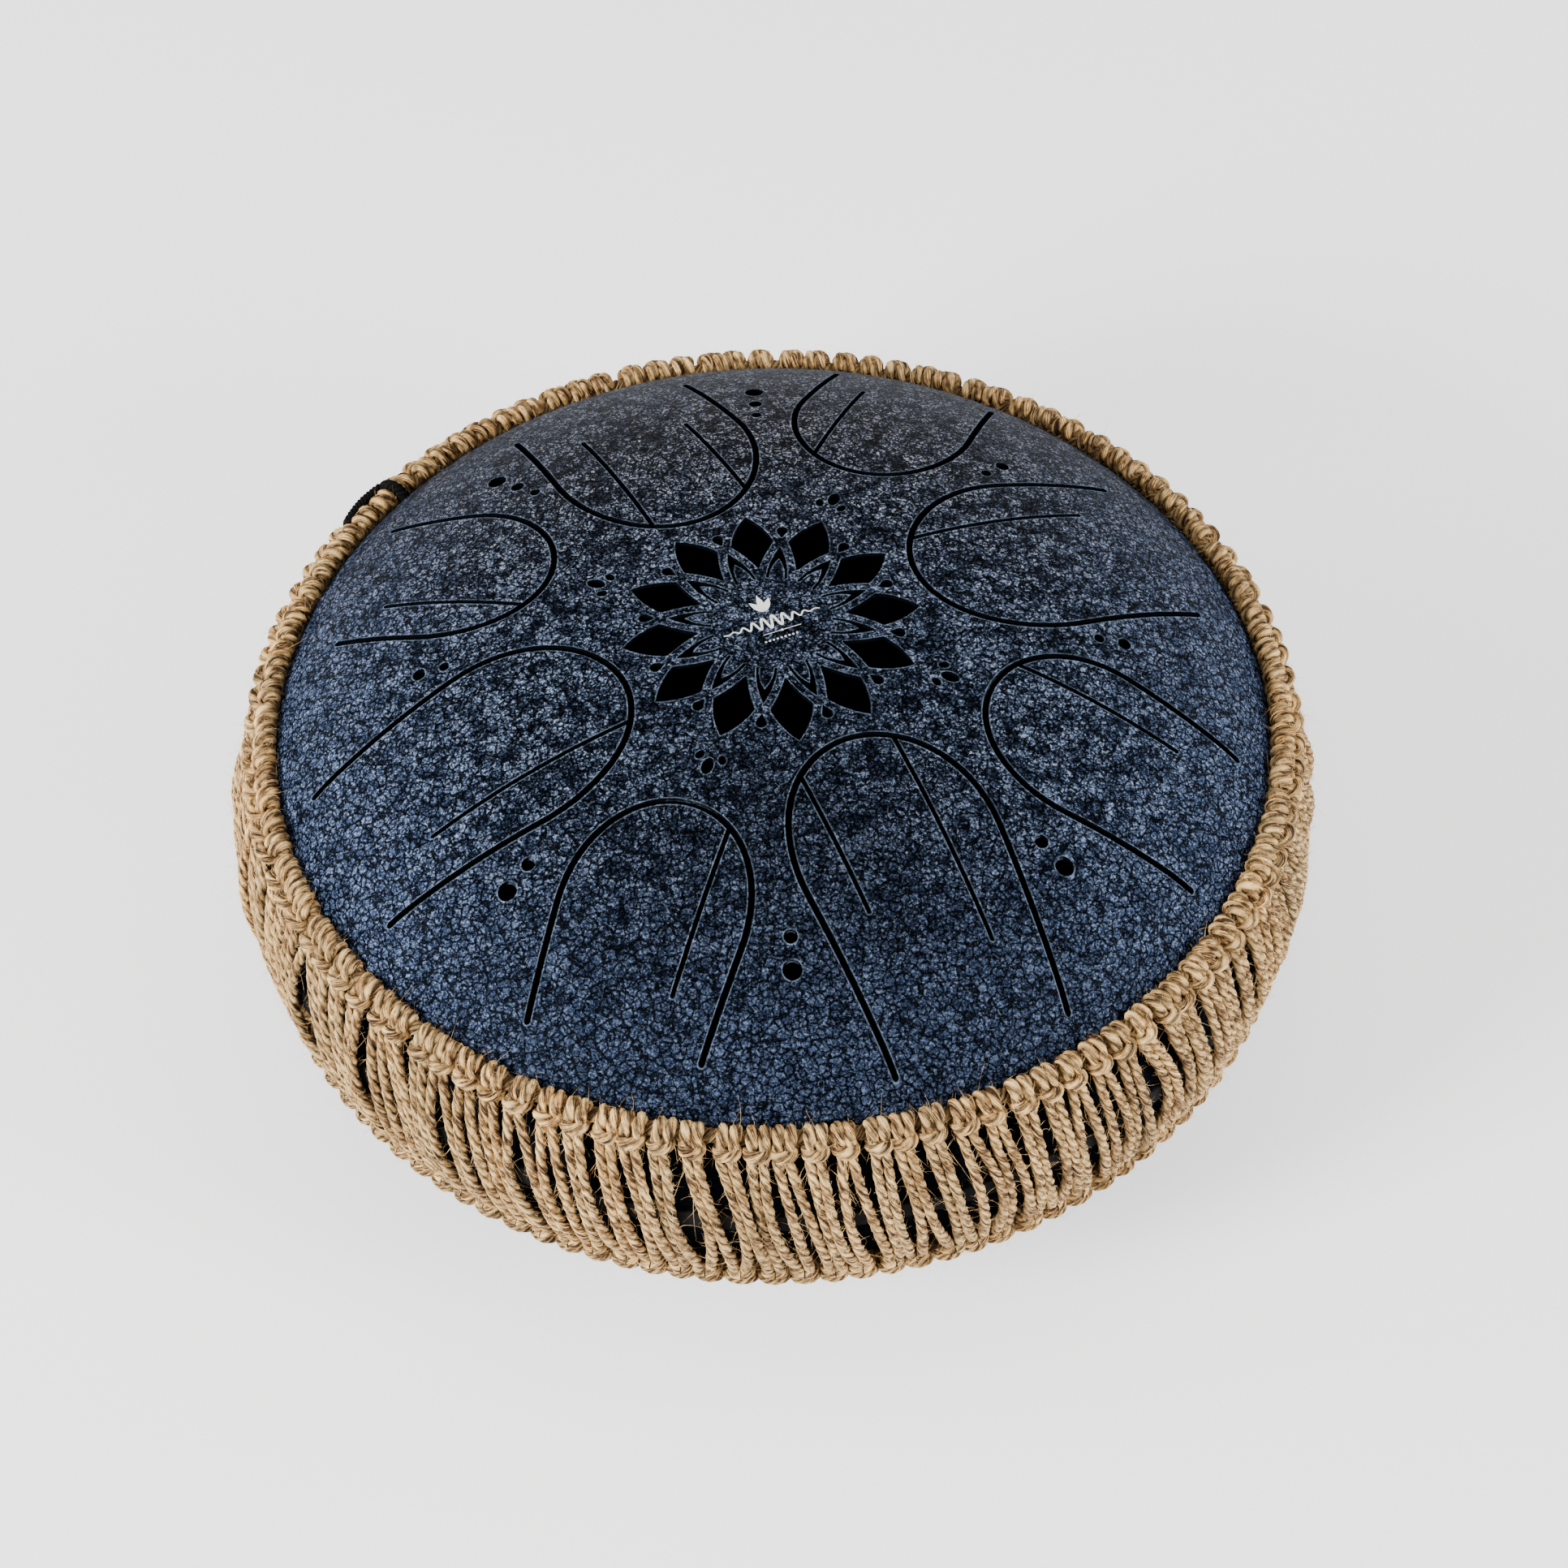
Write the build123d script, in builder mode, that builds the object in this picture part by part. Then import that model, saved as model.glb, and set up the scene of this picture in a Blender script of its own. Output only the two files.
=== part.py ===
"""Steel tongue drum with a corded net skirt.

Two pressed steel shells meet at a seam.  The upper shell carries eight cut
tongues, a cut rosette and a ring of tuning dots.  A net of lark's-head cords is
stretched between two core ropes around the seam, and four rubber feet carry
the drum.  Millimetres, +Z up, origin on the resting plane below the centre.
"""

import os
from math import acos, asin, atan2, cos, degrees, hypot, radians, sin, sqrt

from build123d import *

# ---------------------------------------------------------------- shells
shell_radius = 199.0
shell_rise = 101.0
shell_thickness = 1.8
crown_sweep = 8.687
shoulder_sweep = 24.525
shoulder_radius = 222.67
foot_clearance = 6.0

# ---------------------------------------------------------------- seam band
seam_band_height = 9.0
seam_band_thickness = 1.8
seam_band_gap = 0.05
seam_band_round = 0.72

# ---------------------------------------------------------------- tongues
cut_margin = 1.0
slit_width = 2.3
relief_width = 1.6
# each row: axis angle, tip radius, shoulder radius, half width,
# leg end radius and half width clockwise, leg end radius and half width anticlockwise
tongues = [
    (-67.5, 60.4, 108.0, 38.5, 175.0, 34.6, 175.4, 34.3),
    (-112.5, 86.1, 129.0, 35.1, 170.8, 32.6, 169.2, 33.4),
    (-157.5, 60.2, 108.0, 38.6, 172.4, 33.2, 171.0, 35.4),
    (157.5, 88.4, 129.0, 32.7, 166.0, 30.2, 163.4, 31.4),
    (112.5, 60.6, 108.0, 38.5, 154.4, 35.4, 154.2, 36.9),
    (67.5, 88.4, 128.0, 33.8, 166.0, 31.8, 165.0, 32.0),
    (22.5, 60.4, 108.0, 38.6, 161.4, 35.7, 158.2, 35.1),
    (-22.5, 84.9, 124.0, 34.7, 174.0, 32.8, 172.4, 31.1),
]
# each row: tongue number, offset where it leaves the tip slit, end radius, end offset
reliefs = [
    (0, -20.8, 125.0, -20.8),
    (0, 17.6, 148.0, 17.2),
    (1, 16.3, 152.8, 16.6),
    (2, 17.6, 145.4, 17.9),
    (3, 15.0, 149.6, 15.8),
    (4, -21.8, 120.0, -20.0),
    (4, 18.0, 132.0, 18.1),
    (5, 16.2, 149.6, 15.7),
    (6, 18.6, 137.6, 17.5),
    (7, 17.0, 153.0, 15.6),
]

# ---------------------------------------------------------------- dots
dot_ring_big = 142.65
dot_ring_mid = 131.5
dot_ring_small = 121.95
dot_big = 7.0
dot_mid = 5.0
dot_small = 3.8
big_dot_axes = (-90, -135, -45, 135, 90)
mid_dot_axes = (-90, -135, -45, 180, 0, 45, 135, 90)
small_dot_axes = (180, 0, 45, 135, 90)

# ---------------------------------------------------------------- rosette
petal_count = 12
petal_phase = 7.5
petal_root = 28.4
petal_belly = 40.8
petal_half_width = 8.0
petal_tip = 55.8
petal_root_half_width = 0.5
petal_inner_bow = (34.6, 3.75)
petal_outer_bow = (48.6, 5.2)
petal_corner = 1.2
rosette_cut_depth = 25.0
drop_radius = 2.0
drop_centre = 47.5
drop_point = 43.6
chevron_foot = 22.6
chevron_tip = 38.7
chevron_outer_half = 3.85
chevron_outer_bow = (31.0, 2.75)
chevron_nose = 32.6
chevron_inner_half = 2.95
chevron_inner_bow = (28.6, 2.05)
print_axes = (-22.5, 67.5, 157.5, 247.5)
print_pad_centre = 69.6
print_pad_size = (3.5, 2.05)
print_toe_centre = (65.7, 4.3)
print_toe_size = (2.0, 1.4)
print_toe_turn = 23.0

# ---------------------------------------------------------------- net
net_units = 112
net_sectors = 16
core_rope_radius = 1.0
cord_radius = 1.85
rope_fit = 0.1
net_standoff = 0.3
ring_angle = 31.1
belly_reach = 203.8
hook_sweep = 225.0
cord_half_angle = 0.805
cord_lean = 0.97
bight_radius = 1.7
bight_length = 7.4
bight_round = 1.3
bight_drop = 5.6

# ---------------------------------------------------------------- tie
tie_axis_unit = 43
tie_span_units = 2
tie_radius = 1.2
tie_run_radius = 1.5
tie_lift_angle = 48.0

# ---------------------------------------------------------------- feet
foot_count = 4
foot_phase = 45.0
foot_ring = 80.0
foot_height = 18.0
foot_base_radius = 9.5
foot_top_radius = 11.5
foot_seat_gap = 0.05
foot_edge = 1.0

# ---------------------------------------------------------------- derived
wall_sweep = 90.0 - crown_sweep - shoulder_sweep
crown_end = radians(crown_sweep)
shoulder_end = radians(crown_sweep + shoulder_sweep)
run_needed = shell_radius - shoulder_radius * (sin(shoulder_end) - sin(crown_end))
rise_needed = shell_rise - shoulder_radius * (cos(crown_end) - cos(shoulder_end))
profile_det = sin(crown_end) * cos(shoulder_end) - (1 - sin(shoulder_end)) * (1 - cos(crown_end))
crown_radius = (run_needed * cos(shoulder_end) - (1 - sin(shoulder_end)) * rise_needed) / profile_det
wall_radius = (sin(crown_end) * rise_needed - (1 - cos(crown_end)) * run_needed) / profile_det
wall_centre = shell_radius - wall_radius
equator = foot_clearance + shell_rise
drum_top = equator + shell_rise
cut_level = drum_top + cut_margin
cut_depth = shell_rise + cut_margin
hook_radius = core_rope_radius + rope_fit + cord_radius
hook_outer = hook_radius + cord_radius
ring_offset = wall_radius + hook_outer + net_standoff
ring_radius = wall_centre + ring_offset * cos(radians(ring_angle))
ring_height = ring_offset * sin(radians(ring_angle))
arc_limit = belly_reach - hook_radius
tail_centre = (arc_limit**2 - ring_radius**2 - ring_height**2) / (2 * (arc_limit - ring_radius))
tail_radius = belly_reach - tail_centre
tail_half_sweep = degrees(atan2(ring_height, ring_radius - tail_centre))
unit_pitch = 360.0 / net_units
units_per_sector = net_units // net_sectors
first_unit = unit_pitch / 2


def dome_section(rise_sign, grow):
    """Half section filled from the drum axis to the dome face moved outward by grow."""
    apex = equator + rise_sign * (shell_rise + grow)
    with BuildSketch(Plane.XZ) as section:
        with BuildLine():
            crown = JernArc((0, apex), (1, 0), crown_radius + grow, -rise_sign * crown_sweep)
            shoulder = JernArc(crown @ 1, crown % 1, shoulder_radius + grow, -rise_sign * shoulder_sweep)
            wall = JernArc(shoulder @ 1, shoulder % 1, wall_radius + grow, -rise_sign * wall_sweep)
            Polyline(wall @ 1, (0, equator), (0, apex))
        make_face()
    return section.sketch


def tangent_angle(end_v, end_u, semi_v, semi_u):
    """Angle on an ellipse at the origin where the line to the end point touches it."""
    reach_v = end_v / semi_v
    reach_u = end_u / semi_u
    return atan2(reach_v, reach_u) - acos(1 / hypot(reach_v, reach_u))


def tongue_slit(axis, tip, shoulder, half, end_cw, half_cw, end_ccw, half_ccw):
    """Slit around one tongue: a half ellipse at the tip with a straight leg each side."""
    kerf = slit_width / 2
    semi_v = shoulder - tip
    with BuildSketch(Plane.XY.offset(cut_level).rotated((0, 0, axis))) as slit:
        with BuildLine():
            marks = []
            for grow in (kerf, -kerf):
                touch = []
                for end, reach, side in ((end_cw, half_cw, -1), (end_ccw, half_ccw, 1)):
                    along = end - shoulder
                    lean = atan2(half - reach, along)
                    end_v = along + grow * sin(lean)
                    end_u = reach + grow * cos(lean)
                    angle = tangent_angle(end_v, end_u, semi_v + grow, half + grow)
                    spot_v = shoulder + (semi_v + grow) * sin(angle)
                    spot_u = side * (half + grow) * cos(angle)
                    Line((shoulder + end_v, side * end_u), (spot_v, spot_u))
                    touch.append(angle)
                    marks.append((shoulder + end_v, side * end_u, lean * side))
                EllipticalCenterArc(
                    (shoulder, 0),
                    semi_v + grow,
                    half + grow,
                    start_angle=90 - degrees(touch[1]),
                    arc_size=180 + degrees(touch[0] + touch[1]),
                )
            for first, second in ((marks[0], marks[2]), (marks[1], marks[3])):
                middle_v = (first[0] + second[0]) / 2 + kerf * cos(first[2])
                middle_u = (first[1] + second[1]) / 2 - kerf * sin(first[2])
                ThreePointArc(first[:2], (middle_v, middle_u), second[:2])
        make_face()
    return slit.sketch


def straight_relief(tongue, start_u, end_v, end_u):
    """Straight tuning slit that starts in the middle of the tip slit of a tongue."""
    axis, tip, shoulder, half = tongues[tongue][:4]
    start_v = shoulder - (shoulder - tip) * sqrt(1 - (start_u / half) ** 2)
    length = hypot(end_v - start_v, end_u - start_u)
    turn = degrees(atan2(end_u - start_u, end_v - start_v))
    with BuildSketch(Plane.XY.offset(cut_level).rotated((0, 0, axis))) as slit:
        with Locations(((start_v + end_v) / 2, (start_u + end_u) / 2)):
            SlotCenterToCenter(length, relief_width, rotation=turn)
    return slit.sketch


# ---------------------------------------------------------------- cut-outs
with BuildSketch(Plane.XY.offset(cut_level).rotated((0, 0, petal_phase))) as petal:
    with BuildLine():
        for side in (-1, 1):
            ThreePointArc(
                (petal_root, side * petal_root_half_width),
                (petal_inner_bow[0], side * petal_inner_bow[1]),
                (petal_belly, side * petal_half_width),
            )
            ThreePointArc(
                (petal_belly, side * petal_half_width),
                (petal_outer_bow[0], side * petal_outer_bow[1]),
                (petal_tip, 0),
            )
        ThreePointArc(
            (petal_root, -petal_root_half_width),
            (petal_root - petal_root_half_width, 0),
            (petal_root, petal_root_half_width),
        )
    make_face()
    across = petal.vertices().sort_by(Axis.Y)
    fillet((across[0], across[-1]), petal_corner)

drop_tangent = asin(drop_radius / (drop_centre - drop_point))
with BuildSketch(Plane.XY.offset(cut_level).rotated((0, 0, -petal_phase))) as drop:
    with Locations((drop_centre, 0)):
        Circle(drop_radius)
    with BuildLine():
        Polyline(
            (drop_point, 0),
            (drop_centre - drop_radius * sin(drop_tangent), drop_radius * cos(drop_tangent)),
            (drop_centre - drop_radius * sin(drop_tangent), -drop_radius * cos(drop_tangent)),
            close=True,
        )
    make_face()

with BuildSketch(Plane.XY.offset(cut_level).rotated((0, 0, -petal_phase))) as chevron:
    with BuildLine():
        for side in (-1, 1):
            ThreePointArc(
                (chevron_foot, side * chevron_outer_half),
                (chevron_outer_bow[0], side * chevron_outer_bow[1]),
                (chevron_tip, 0),
            )
            ThreePointArc(
                (chevron_foot, side * chevron_inner_half),
                (chevron_inner_bow[0], side * chevron_inner_bow[1]),
                (chevron_nose, 0),
            )
            arm_middle = (chevron_outer_half + chevron_inner_half) / 2
            arm_round = (chevron_outer_half - chevron_inner_half) / 2
            ThreePointArc(
                (chevron_foot, side * chevron_inner_half),
                (chevron_foot - arm_round, side * arm_middle),
                (chevron_foot, side * chevron_outer_half),
            )
    make_face()

with BuildSketch(Plane.XY.offset(cut_level)) as prints:
    for axis in print_axes:
        turn = radians(axis)
        pad_spot = (print_pad_centre * cos(turn), print_pad_centre * sin(turn), 0)
        with Locations(Location(pad_spot, (0, 0, axis))):
            Ellipse(*print_pad_size)
        for side in (-1, 1):
            toe_v, toe_u = print_toe_centre[0], side * print_toe_centre[1]
            toe_spot = (toe_v * cos(turn) - toe_u * sin(turn), toe_v * sin(turn) + toe_u * cos(turn), 0)
            with Locations(Location(toe_spot, (0, 0, axis + side * print_toe_turn))):
                Ellipse(*print_toe_size)

with BuildSketch(Plane.XY.offset(cut_level)) as dots:
    for axes, ring, diameter in (
        (big_dot_axes, dot_ring_big, dot_big),
        (mid_dot_axes, dot_ring_mid, dot_mid),
        (small_dot_axes, dot_ring_small, dot_small),
    ):
        for axis in axes:
            with Locations((ring * cos(radians(axis)), ring * sin(radians(axis)))):
                Circle(diameter / 2)

# ---------------------------------------------------------------- shells
with BuildPart() as upper_shell:
    add(dome_section(1, 0))
    revolve(axis=Axis.Z)
    add(dome_section(1, -shell_thickness))
    revolve(axis=Axis.Z, mode=Mode.SUBTRACT)
    for shape in tongues:
        extrude(tongue_slit(*shape), amount=-cut_depth, mode=Mode.SUBTRACT)
    for shape in reliefs:
        extrude(straight_relief(*shape), amount=-cut_depth, mode=Mode.SUBTRACT)
    extrude(prints.sketch, amount=-cut_depth, mode=Mode.SUBTRACT)
    extrude(dots.sketch, amount=-cut_depth, mode=Mode.SUBTRACT)
    for step in range(petal_count):
        for cut in (petal, drop, chevron):
            turned = Rotation(0, 0, step * 360 / petal_count) * cut.sketch
            extrude(turned, amount=-rosette_cut_depth, mode=Mode.SUBTRACT)

with BuildPart() as lower_shell:
    add(dome_section(-1, 0))
    revolve(axis=Axis.Z)
    add(dome_section(-1, -shell_thickness))
    revolve(axis=Axis.Z, mode=Mode.SUBTRACT)

with BuildPart() as seam_band:
    with BuildSketch(Plane.XZ) as band_section:
        with Locations((shell_radius + seam_band_gap + seam_band_thickness / 2, equator)):
            Rectangle(seam_band_thickness, seam_band_height)
        fillet(band_section.vertices().group_by(Axis.X)[-1], seam_band_round)
    revolve(axis=Axis.Z)

# ---------------------------------------------------------------- feet
foot_parts = []
for number in range(foot_count):
    turn = radians(foot_phase + number * 360 / foot_count)
    with BuildPart() as foot:
        with BuildSketch(Plane.XY) as foot_base:
            with Locations((foot_ring * cos(turn), foot_ring * sin(turn))):
                Circle(foot_base_radius)
        with BuildSketch(Plane.XY.offset(foot_height)) as foot_top:
            with Locations((foot_ring * cos(turn), foot_ring * sin(turn))):
                Circle(foot_top_radius)
        loft()
        fillet(foot.edges().group_by(Axis.Z)[0], foot_edge)
        add(dome_section(-1, foot_seat_gap))
        revolve(axis=Axis.Z, mode=Mode.SUBTRACT)
    foot_parts.append(foot)

# ---------------------------------------------------------------- net
with BuildPart() as top_core_rope:
    with Locations((0, 0, equator + ring_height)):
        Torus(ring_radius, core_rope_radius)

with BuildPart() as bottom_core_rope:
    with Locations((0, 0, equator - ring_height)):
        Torus(ring_radius, core_rope_radius)


with BuildPart() as half_cord:
    with BuildLine(Plane.XZ) as route:
        CenterArc(
            (ring_radius, equator - ring_height),
            hook_radius,
            start_angle=-tail_half_sweep - hook_sweep,
            arc_size=hook_sweep,
        )
        CenterArc((tail_centre, equator), tail_radius, -tail_half_sweep, 2 * tail_half_sweep)
        CenterArc((ring_radius, equator + ring_height), hook_radius, tail_half_sweep, hook_sweep)
    with BuildSketch(Plane(origin=route.line @ 0, z_dir=route.line % 0)):
        Circle(cord_radius)
    sweep(path=route.line)

bight_offset = tail_radius + cord_radius + rope_fit + bight_radius
bight_angle = radians(tail_half_sweep) - bight_drop / tail_radius
with BuildPart() as bight:
    bight_spot = (
        tail_centre + bight_offset * cos(bight_angle),
        0,
        equator + bight_offset * sin(bight_angle),
    )
    with Locations(Location(bight_spot, (90, 0, 0))):
        Cylinder(bight_radius, bight_length)
    fillet(bight.edges().filter_by(GeomType.CIRCLE), bight_round)

lean_axis = Axis((0, 0, equator), (1, 0, 0))
right_cord = Rotation(0, 0, cord_half_angle) * half_cord.part.rotate(lean_axis, cord_lean)
left_cord = Rotation(0, 0, -cord_half_angle) * half_cord.part.rotate(lean_axis, -cord_lean)
cord_parts = []
for sector in range(net_sectors):
    with BuildPart() as cords:
        for step in range(units_per_sector):
            turn = first_unit + (sector * units_per_sector + step) * unit_pitch
            for piece in (right_cord, left_cord, bight.part):
                add(Rotation(0, 0, turn) * piece)
    cord_parts.append(cords)

# ---------------------------------------------------------------- tie
tie_mid = hook_outer + tie_run_radius + rope_fit
with BuildPart() as ring_tie:
    tie_from = tie_axis_unit * unit_pitch
    tie_to = tie_from + tie_span_units * unit_pitch
    for turn in (tie_from, tie_to):
        with BuildSketch(Plane.XY.offset(equator + ring_height).rotated((0, 0, turn))):
            with Locations((ring_radius + core_rope_radius + rope_fit + tie_radius, 0)):
                Circle(tie_radius)
        hub = (ring_radius * cos(radians(turn)), ring_radius * sin(radians(turn)), equator + ring_height)
        revolve(axis=Axis(hub, (-sin(radians(turn)), cos(radians(turn)), 0)))
    run_reach = ring_radius + tie_mid * cos(radians(tie_lift_angle))
    run_height = equator + ring_height + tie_mid * sin(radians(tie_lift_angle))
    loop_reach = ring_radius + (core_rope_radius + tie_radius) * cos(radians(tie_lift_angle))
    loop_height = equator + ring_height + (core_rope_radius + tie_radius) * sin(radians(tie_lift_angle))
    for turn in (tie_from, tie_to):
        with BuildLine() as riser:
            Line(
                (loop_reach * cos(radians(turn)), loop_reach * sin(radians(turn)), loop_height),
                (run_reach * cos(radians(turn)), run_reach * sin(radians(turn)), run_height),
            )
        with BuildSketch(Plane(origin=riser.line @ 0, z_dir=riser.line % 0)):
            Circle(tie_radius)
        sweep(path=riser.line)
    with BuildSketch(Plane.XZ.rotated((0, 0, tie_from))):
        with Locations((run_reach, run_height)):
            Circle(tie_run_radius)
    revolve(axis=Axis.Z, revolution_arc=tie_span_units * unit_pitch)

# ---------------------------------------------------------------- export
os.makedirs("parts", exist_ok=True)

upper_shell.part.label = "upper_shell"
export_step(upper_shell.part, "parts/upper_shell.step")
lower_shell.part.label = "lower_shell"
export_step(lower_shell.part, "parts/lower_shell.step")
seam_band.part.label = "seam_band"
export_step(seam_band.part, "parts/seam_band.step")
top_core_rope.part.label = "top_core_rope"
export_step(top_core_rope.part, "parts/top_core_rope.step")
bottom_core_rope.part.label = "bottom_core_rope"
export_step(bottom_core_rope.part, "parts/bottom_core_rope.step")
ring_tie.part.label = "ring_tie"
export_step(ring_tie.part, "parts/ring_tie.step")
for number, foot in enumerate(foot_parts, 1):
    foot.part.label = f"foot_{number}"
    export_step(foot.part, f"parts/foot_{number}.step")
for number, cords in enumerate(cord_parts, 1):
    cords.part.label = f"net_cords_{number:02d}"
    export_step(cords.part, f"parts/net_cords_{number:02d}.step")
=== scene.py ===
"""Looks of the steel tongue drum with its corded jute net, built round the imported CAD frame."""

import math

import bpy
import numpy as np
from mathutils import Matrix, Vector


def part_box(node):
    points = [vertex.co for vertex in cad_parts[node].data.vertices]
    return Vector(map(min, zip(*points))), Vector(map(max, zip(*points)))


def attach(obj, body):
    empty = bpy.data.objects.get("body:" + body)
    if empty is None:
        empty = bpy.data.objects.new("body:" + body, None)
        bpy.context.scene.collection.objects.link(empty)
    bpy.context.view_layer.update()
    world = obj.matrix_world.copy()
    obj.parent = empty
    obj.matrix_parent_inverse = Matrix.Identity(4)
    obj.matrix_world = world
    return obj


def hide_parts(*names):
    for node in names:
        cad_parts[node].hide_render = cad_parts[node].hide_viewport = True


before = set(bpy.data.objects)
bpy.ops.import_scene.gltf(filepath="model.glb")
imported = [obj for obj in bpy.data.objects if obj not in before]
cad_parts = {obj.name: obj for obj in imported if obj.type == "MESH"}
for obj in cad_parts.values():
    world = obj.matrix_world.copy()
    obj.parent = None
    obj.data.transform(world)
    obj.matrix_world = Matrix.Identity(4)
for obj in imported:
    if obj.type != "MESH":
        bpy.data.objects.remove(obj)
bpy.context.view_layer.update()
MM = 0.001
RNG = np.random.default_rng(11)

# ---------------------------------------------------------------- sizes read from the frame, in mm
SHELL_LOW, SHELL_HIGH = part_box("upper_shell")
ROPE_LOW, ROPE_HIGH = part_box("top_core_rope")
SHELL_R = SHELL_HIGH.x / MM
EQUATOR = SHELL_LOW.z / MM
APEX = SHELL_HIGH.z / MM
CORE_R = (ROPE_HIGH.z - ROPE_LOW.z) / MM / 2
RING_R = ROPE_HIGH.x / MM - CORE_R
RING_Z = (ROPE_HIGH.z + ROPE_LOW.z) / MM / 2 - EQUATOR

# ---------------------------------------------------------------- sizes of the net, in mm
# the lengths of twine round the drum, and how many of them make one piece
UNITS = 112
SECTORS = 16
PER_SECTOR = UNITS // SECTORS
PITCH = 2 * math.pi / UNITS

# the arc of the shell's wall, and the angle at which the rings stand on it
WALL_R = 73.26
WALL_C = SHELL_R - WALL_R
RING_TILT = math.atan2(RING_Z, RING_R - WALL_C)

# gap between the wall and a tail's centre at the belly, and next to the top and bottom knots
BELLY_GAP = 4.8
KNOT_GAP = {1: 6.0, -1: 4.9}

# share and shift of a knot's reach away from the wall, for the top and bottom knots
KNOT_FLAT = {1: (0.72, -0.84), -1: (0.5, -1.5)}

# reach away from the wall and towards the seam of the two border cords
BORDER = ((2.7, 2.6), (4.3, 3.4))
SCALLOP_POINTS = 12
SCALLOP_FOOT = 0.4

# the tails: half their angle round the wall, distance from the knot's middle, slant, least spacing and
# spread at the belly, rounds of pushing apart, and mean and spread of their bulge off the wall
TAIL_TURN = math.radians(24.0)
TAIL_POINTS = 7
TAIL_HALF = 2.1
LEAN = math.radians(3.2)
MIN_SPACING = 3.4
SWAY = 3.6
PUSHES = 60
BULGE = (0.2, 0.75)

# the core ropes: points round the ring, reach away from the wall, shift towards the seam, and height and
# number of the ripples in that shift
CORE_POINTS = 1201
CORE_IN = -2.6
CORE_SHIFT, CORE_RIPPLE, CORE_RIPPLES = 0.3, 0.2, 37

# how uneven the knots are: shift as a share of the pitch, width, tilt
TOP_SHIFT, BOTTOM_SHIFT = 0.13, 0.22
TOP_WIDTH, BOTTOM_WIDTH = (0.9, 1.1), (0.9, 1.08)
KNOT_TILT = 0.09

# each kind of rope: lay, distance of a ply's centre from the rope's, radius of a ply
TWINE = (18.0, 0.66, 1.32)
BORDER_TWINE = (9.0, 0.42, 0.86)
CORE_STRANDS = (12.0, 1.3, 1.6)
TIE_BRAID = (7.0, 0.7, 0.95)
STEP = 1.0
FINE_STEP = 0.8
TIE_STEP = 0.5

# the tie: the two places between knots that it joins, and its number of points at the first,
# along the ring and at the last
TIE_KNOTS = (43, 45)
TIE_OVER, TIE_ALONG, TIE_UNDER = 9, 9, 8

# a ply's wobble in thickness, and the shift of its texture from the next ply and the next cord
WOBBLE, WOBBLE_RATE = 0.05, 1.3
PLY_SHIFT, CORD_SHIFT = 37.0, 11

# painted shade in the grooves between plies: the light left at a groove's bottom, and where the shade
# begins and how fast it lifts, as shares of the radius
GROOVE_LIGHT = 0.07
GROOVE_START = 0.85
GROOVE_SPAN = 0.11
RUN_PER_UV = 10

# loose fibres: how many and how far from the centre line they start, on a length of twine and on a
# border cord; then their length (a gamma draw over a least value), lift off the cord, curl, thickness
TWINE_FIBRES = (200, 1.9)
BORDER_FIBRES = (90, 1.1)
FIBRE_LENGTH, FIBRE_LEAST = (2.0, 1.3), 1.0
FIBRE_LIFT = (0.15, 0.95)
FIBRE_CURL = 0.5
FIBRE_RADIUS = 0.07

# ---------------------------------------------------------------- sizes of the floor and of the mark, in mm
FLOOR_Z = -0.1
FLOOR_HALF = 40000
BUD_FOOT, BUD_WIDTH = (-0.6, 5.6), 2.6
BUD_LEAVES = ((90, 8.6), (56, 7.2), (124, 7.2))
WAVE_HALF, WAVE_FADE, WAVE_HEIGHT, WAVE_RATE = 19, 11, 2.9, 1.55
WAVE_THIN, WAVE_THICK = 0.22, 0.28
RULE_MIDDLE, RULE_HALF, RULE_THIN, RULE_DOT = (2.1, -5.2), 7.5, 0.12, 0.5
DOTS_MIDDLE, DOTS_PITCH, DOTS_EACH_SIDE, DOT_RADIUS = (0.5, -8.6), 1.55, 4, 0.42
MARK_TURN = math.radians(19)
PRINT_LIFT = 0.05

# ---------------------------------------------------------------- textures of the coat
# noises: scale per metre, detail, roughness
WARP_NOISE = (330.0, 5.0, 0.72)
PATCH_NOISE = (140.0, 3.0, 0.6)
PEBBLE_NOISE = (520.0, 3.0, 0.6)
GRAIN_NOISE = (1050.0, 2.0, 0.75)
WARP_REACH = 0.0045
FINE_CELL_SCALE = 560.0
WIDE_CELL_SCALE = 290.0
EDGE_RADIUS = 0.001

# value of the coat over a texture's value, as ramp stops
FINE_LINE = ((0.0, 0.50), (0.06, 0.70), (0.13, 1.0))
BOLD_LINE = ((0.0, 0.0), (0.055, 0.0), (0.085, 0.8), (0.11, 1.0))
# pale flecks painted as glints, where grain and patches are both high
GLINT_GRAIN = ((0.53, 0.0), (0.60, 1.0))
GLINT_PATCH = ((0.42, 0.14), (0.55, 1.0))
# the pale band along a cut's edge, part wear and part painted highlight, broken up by grain; the dark lip
# at the edge itself is painted shade
EDGE_WEAR_GLINT = ((0.90, 1.0), (0.99, 0.0))
EDGE_SHADE = ((0.79, 0.0), (0.85, 1.0))
WEAR_GLINT_GRAIN = ((0.36, 0.15), (0.52, 1.0))
COAT_ROUGHNESS = ((0.3, 0.36), (0.7, 0.58))

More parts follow.
